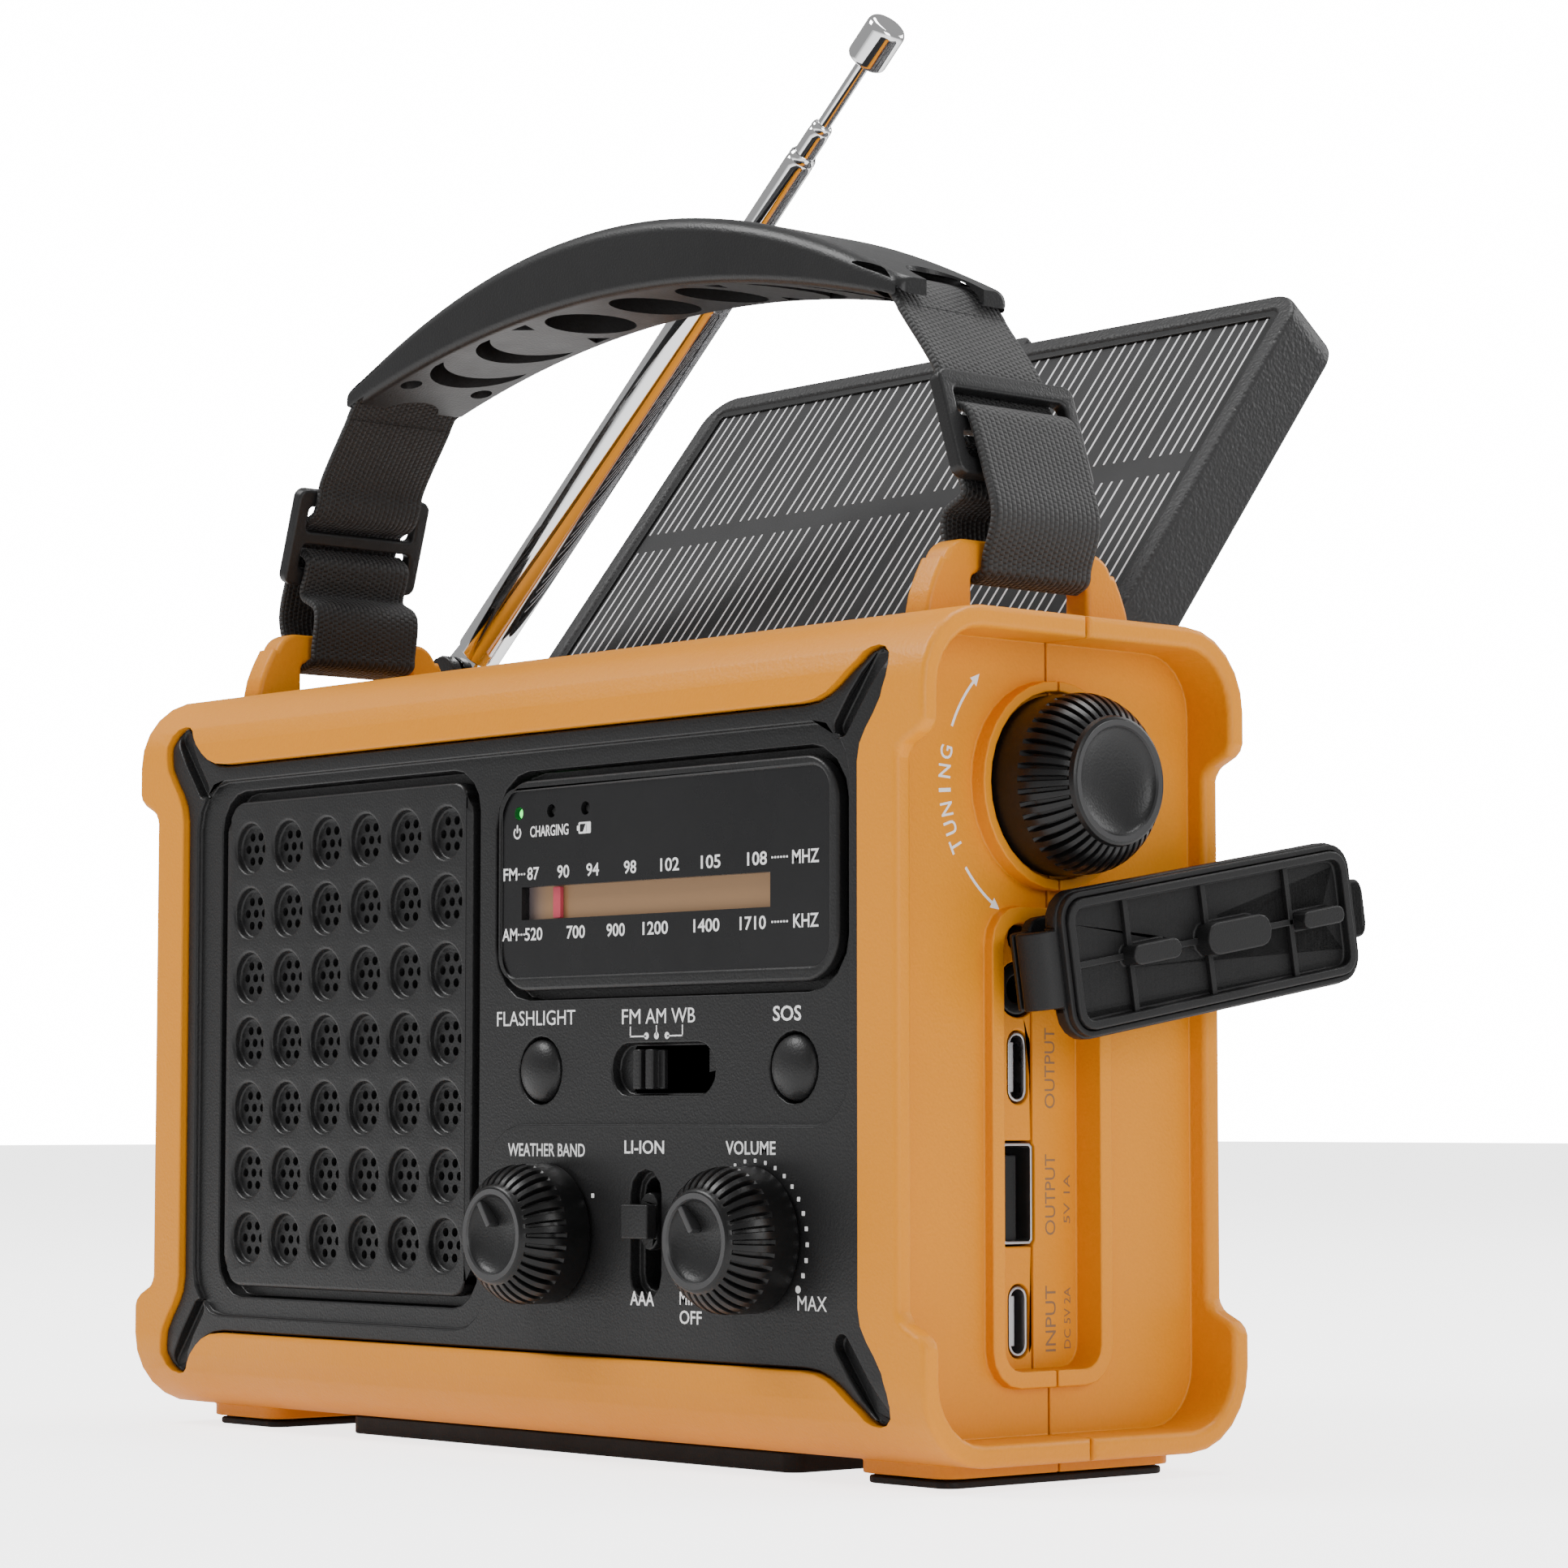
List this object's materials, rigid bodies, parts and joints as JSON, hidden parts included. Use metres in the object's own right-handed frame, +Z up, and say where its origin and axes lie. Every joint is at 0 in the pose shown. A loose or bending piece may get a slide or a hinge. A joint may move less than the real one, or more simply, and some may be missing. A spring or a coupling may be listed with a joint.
{
  "type": "portable emergency radio",
  "caption": "Rugged orange and charcoal table-top radio with carry handle, telescopic antenna, fold-up solar panel, hand crank, torch and side charging ports.",
  "frame": {"origin": "under the middle of the case, on the surface that its feet and base pad stand on", "axes": "+X to the right of someone facing the dial, -Y out of the front, +Z up"},
  "size_m": [0.1835, 0.1166, 0.2091],
  "materials": {
    "orange_plastic": "fine-textured satin orange moulding",
    "charcoal_plastic": "satin charcoal moulding",
    "black_rubber": "matt black rubber",
    "black_plastic": "black moulding",
    "dial_window": "smooth dark dial cover",
    "scale_card": "translucent amber scale",
    "pointer_red": "red pointer",
    "webbing": "black woven nylon webbing",
    "chrome_tube": "bright chrome",
    "steel": "satin steel",
    "solar_frame": "textured dark grey moulding",
    "solar_cell": "dark cells under a clear coat with fine white lines",
    "clear_lens": "clear moulded lens",
    "reflector": "bright reflector",
    "circuit_board": "green board",
    "battery_wrap": "blue cell wrap"
  },
  "bodies": {
    "case": {"front_shell": "orange_plastic", "rear_shell": "orange_plastic", "strap_lug_left": "orange_plastic", "strap_lug_right": "orange_plastic", "foot_left": "black_rubber", "foot_right": "black_rubber", "base_pad": "black_rubber", "front_panel": "charcoal_plastic", "speaker_grille": "charcoal_plastic", "speaker_driver": "black_plastic", "dial_lens": "dial_window", "dial_scale": "scale_card", "weather_switch": "steel", "volume_control": "steel", "tuning_capacitor": "steel", "headphone_jack": "black_plastic", "usb_c_output": "steel", "usb_a_output": "steel", "usb_c_input": "steel", "torch_lens": "clear_lens", "torch_reflector": "reflector", "aaa_cell_1": "battery_wrap", "aaa_cell_2": "battery_wrap", "aaa_cell_3": "battery_wrap", "strap_left": "webbing", "strap_right": "webbing", "antenna_knuckle": "charcoal_plastic", "solar_hinge_pin": "steel", "generator": "steel", "main_board": "circuit_board", "li_ion_cell": "battery_wrap"},
    "tuning": {"tuning_knob": "charcoal_plastic", "tuning_shaft": "steel"},
    "pointer": {"dial_pointer": "pointer_red"},
    "weather_selector": {"weather_knob": "charcoal_plastic"},
    "volume": {"volume_knob": "charcoal_plastic"},
    "band_switch": {"band_slider": "charcoal_plastic"},
    "battery_switch": {"battery_slider": "charcoal_plastic"},
    "light_switch": {"light_button": "charcoal_plastic"},
    "sos_switch": {"sos_button": "charcoal_plastic"},
    "handle": {"handle_grip": "charcoal_plastic"},
    "left_buckle": {"buckle_left": "charcoal_plastic"},
    "right_buckle": {"buckle_right": "charcoal_plastic"},
    "solar_panel": {"solar_frame": "solar_frame", "solar_cells": "solar_cell"},
    "crank": {"crank_hub": "charcoal_plastic", "crank_arm": "charcoal_plastic", "crank_gear": "steel"},
    "crank_post": {"crank_grip_post": "steel"},
    "crank_sleeve": {"crank_grip": "charcoal_plastic"},
    "generator_rotor": {"generator_pinion": "steel"},
    "door": {"battery_door": "orange_plastic"},
    "cover_tether": {"port_cover_tether": "black_rubber"},
    "cover_flap": {"port_cover": "black_rubber"},
    "antenna_1": {"antenna_section_1": "chrome_tube"},
    "antenna_2": {"antenna_section_2": "chrome_tube"},
    "antenna_3": {"antenna_section_3": "chrome_tube"},
    "antenna_4": {"antenna_section_4": "chrome_tube"},
    "antenna_5": {"antenna_section_5": "chrome_tube"},
    "antenna_6": {"antenna_section_6": "chrome_tube"}
  },
  "joints": [
    {"name": "tuning_turn", "type": "hinge", "parent": "case", "child": "tuning", "pos_m": [0.082, 0, 0.0905], "axis": [-1, 0, 0], "range_deg": [-27, 271]},
    {"name": "pointer_slide", "type": "slide", "parent": "case", "child": "pointer", "axis": [1, 0, 0], "range_m": [-0.0042, 0.0417]},
    {"name": "weather_turn", "type": "hinge", "parent": "case", "child": "weather_selector", "pos_m": [0.0131, -0.029, 0.0312], "axis": [0, 1, 0], "range_deg": [-30, 150]},
    {"name": "volume_turn", "type": "hinge", "parent": "case", "child": "volume", "pos_m": [0.0556, -0.029, 0.0312], "axis": [0, 1, 0], "range_deg": [-105, 195]},
    {"name": "band_slide", "type": "slide", "parent": "case", "child": "band_switch", "axis": [1, 0, 0], "range_m": [0, 0.008]},
    {"name": "battery_slide", "type": "slide", "parent": "case", "child": "battery_switch", "axis": [0, 0, 1], "range_m": [-0.005, 0.0015]},
    {"name": "light_press", "type": "slide", "parent": "case", "child": "light_switch", "axis": [0, 1, 0], "range_m": [0, 0.0012], "stiffness_N_per_m": 300},
    {"name": "sos_press", "type": "slide", "parent": "case", "child": "sos_switch", "axis": [0, 1, 0], "range_m": [0, 0.0012], "stiffness_N_per_m": 300},
    {"name": "handle_drop", "type": "slide", "parent": "case", "child": "handle", "axis": [0, 0, -1], "range_m": [0, 0.017], "deforming": ["strap_left", "strap_right"]},
    {"name": "left_buckle_drop", "type": "slide", "parent": "case", "child": "left_buckle", "axis": [0, 0, -1], "range_m": [0, 0.008]},
    {"name": "right_buckle_drop", "type": "slide", "parent": "case", "child": "right_buckle", "axis": [0, 0, -1], "range_m": [0, 0.008]},
    {"name": "antenna_tilt", "type": "hinge", "parent": "case", "child": "antenna_1", "pos_m": [-0.078, 0.0245, 0.118], "axis": [0, -1, 0], "range_deg": [-41, 49]},
    {"name": "antenna_extend_2", "type": "slide", "parent": "antenna_1", "child": "antenna_2", "axis": [0.7547, 0, 0.6561], "range_m": [-0.004, 0.06]},
    {"name": "antenna_extend_3", "type": "slide", "parent": "antenna_2", "child": "antenna_3", "axis": [0.7547, 0, 0.6561], "range_m": [-0.004, 0.058]},
    {"name": "antenna_extend_4", "type": "slide", "parent": "antenna_3", "child": "antenna_4", "axis": [0.7547, 0, 0.6561], "range_m": [-0.0165, 0.045]},
    {"name": "antenna_extend_5", "type": "slide", "parent": "antenna_4", "child": "antenna_5", "axis": [0.7547, 0, 0.6561], "range_m": [-0.0047, 0.055]},
    {"name": "antenna_extend_6", "type": "slide", "parent": "antenna_5", "child": "antenna_6", "axis": [0.7547, 0, 0.6561], "range_m": [-0.0109, 0.047]},
    {"name": "solar_tilt", "type": "hinge", "parent": "case", "child": "solar_panel", "pos_m": [0, 0.0285, 0.1105], "axis": [1, 0, 0], "range_deg": [-142, 0]},
    {"name": "crank_spin", "type": "hinge", "parent": "case", "child": "crank", "pos_m": [0.03, 0.03, 0.02], "axis": [0, 1, 0], "continuous": true},
    {"name": "generator_spin", "type": "hinge", "parent": "case", "child": "generator_rotor", "pos_m": [0.01575, 0.022, 0.02], "axis": [0, 1, 0], "continuous": true},
    {"name": "crank_grip_fold", "type": "hinge", "parent": "crank", "child": "crank_post", "pos_m": [-0.02, 0.0422, 0.02], "axis": [0, 0, 1], "range_deg": [0, 90]},
    {"name": "crank_grip_spin", "type": "hinge", "parent": "crank_post", "child": "crank_sleeve", "pos_m": [-0.005, 0.0422, 0.02], "axis": [1, 0, 0], "continuous": true},
    {"name": "battery_door_open", "type": "hinge", "parent": "case", "child": "door", "pos_m": [-0.0808, 0, 0.0103], "axis": [0, -1, 0], "range_deg": [0, 90]},
    {"name": "cover_swivel", "type": "hinge", "parent": "case", "child": "cover_tether", "pos_m": [0.084, -0.0025, 0.0706], "axis": [1, 0, 0], "range_deg": [-60, 0]},
    {"name": "cover_fold", "type": "hinge", "parent": "cover_tether", "child": "cover_flap", "pos_m": [0.08815, -0.01153, 0.06909], "axis": [0, 0.165, -0.9863], "range_deg": [0, 90]}
  ],
  "couplings": [
    {"joint": "pointer_slide", "follows": "tuning_turn", "m_per_rad": 0.0088},
    {"joint": "left_buckle_drop", "follows": "handle_drop", "ratio": 0.46},
    {"joint": "right_buckle_drop", "follows": "handle_drop", "ratio": 0.46},
    {"joint": "generator_spin", "follows": "crank_spin", "ratio": -3}
  ]
}
